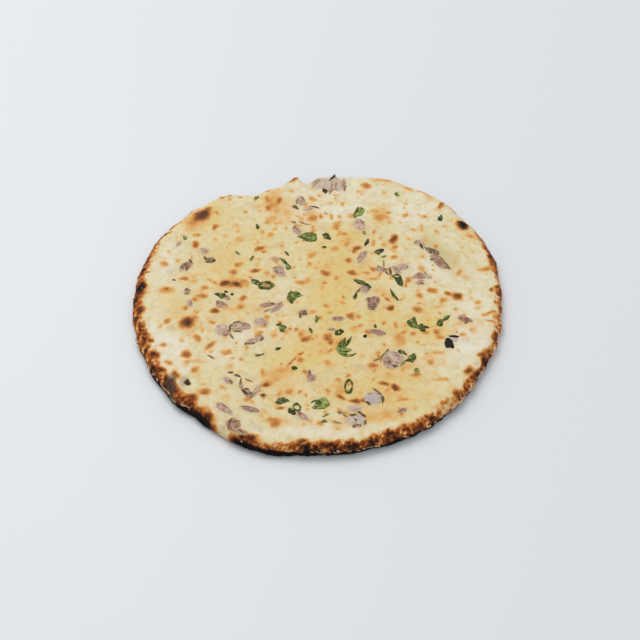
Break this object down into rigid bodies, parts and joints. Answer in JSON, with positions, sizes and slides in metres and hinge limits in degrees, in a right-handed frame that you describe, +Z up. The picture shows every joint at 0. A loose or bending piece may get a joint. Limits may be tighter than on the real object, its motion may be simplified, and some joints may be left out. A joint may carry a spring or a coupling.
{
  "type": "onion kulcha",
  "caption": "Round leavened flatbread with a toasted craggy rim, char blisters, and chopped onion, coriander and green chilli set in its top.",
  "frame": {"origin": "middle of the underside, on the surface the bread lies on", "axes": "+Z up through the bread's thickness, +Y towards its back edge, +X towards its right edge as seen in the picture"},
  "size_m": [0.2023, 0.2174, 0.0093],
  "materials": {
    "bread": "soft baked dough, matt, with a buttery sheen in the middle and a toasted rim",
    "onion": "moist, translucent mauve-grey chopped onion with singed edges",
    "herb": "wilted dark green coriander and chilli"
  },
  "bodies": {
    "root": {"kulcha": "bread"}
  },
  "joints": []
}
